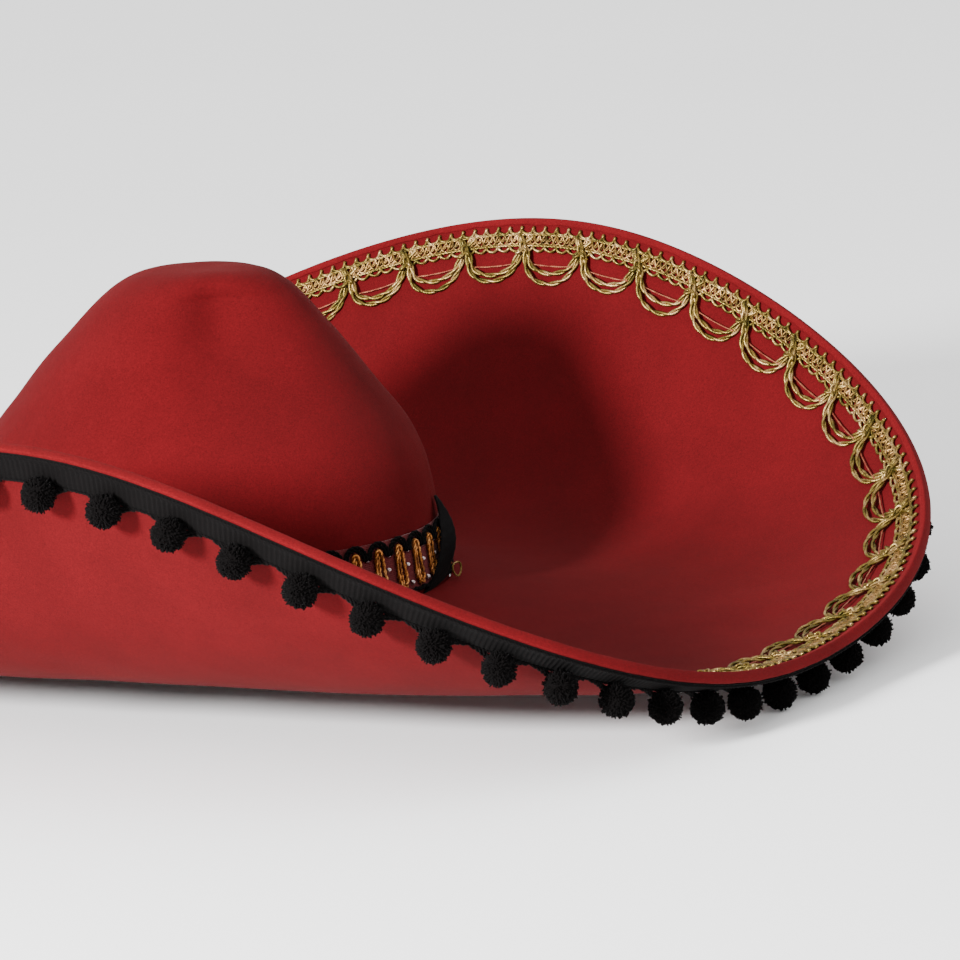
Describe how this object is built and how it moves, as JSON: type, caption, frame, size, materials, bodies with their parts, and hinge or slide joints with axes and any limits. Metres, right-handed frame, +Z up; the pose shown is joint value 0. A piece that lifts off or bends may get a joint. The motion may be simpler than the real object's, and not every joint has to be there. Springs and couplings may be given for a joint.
{
  "type": "sombrero",
  "caption": "Wide-brimmed felt hat with a tapered crown, upturned sides, scalloped braid, a looped hatband and pompoms hanging round the rim.",
  "frame": {"origin": "on the table under the middle of the crown, at the middle of the hat's footprint", "axes": "+X to the wearer's side, -Y to the front, +Z up through the crown"},
  "size_m": [0.4946, 0.5809, 0.1699],
  "materials": {
    "red_felt": "matte felt",
    "red_binding": "folded felt edge",
    "buckram": "stiffened open weave",
    "board": "grey board",
    "satin": "satin",
    "sweatband_leather": "smooth",
    "thread": "thread",
    "steel_wire": "drawn",
    "black_trim": "woven",
    "black_ribbon": "ribbed ribbon",
    "pompom_wool": "fluffy",
    "gold_braid": "metallic thread",
    "hatband_ground": "woven"
  },
  "bodies": {
    "root": {"crown_felt": "red_felt", "crown_stiffener": "buckram", "crown_lining": "satin", "sweatband": "sweatband_leather", "sweatband_stitching": "thread", "brim_top_felt": "red_felt", "brim_board": "board", "brim_under_felt": "red_felt", "rim_wire": "steel_wire", "rim_binding": "red_binding", "brim_seam_stitching": "thread", "pompom_tape": "black_trim", "pompom_threads": "black_trim", "pompoms": "pompom_wool", "braid_header": "gold_braid", "braid_outer_scallops": "gold_braid", "braid_inner_scallops": "gold_braid", "braid_knots": "gold_braid", "braid_cross_threads": "gold_braid", "hatband_ribbon": "hatband_ground", "hatband_foot_cord": "black_trim", "hatband_gold_loops": "gold_braid", "hatband_arches": "black_trim", "hatband_keeper": "black_ribbon", "hatband_tie": "gold_braid"}
  },
  "joints": []
}
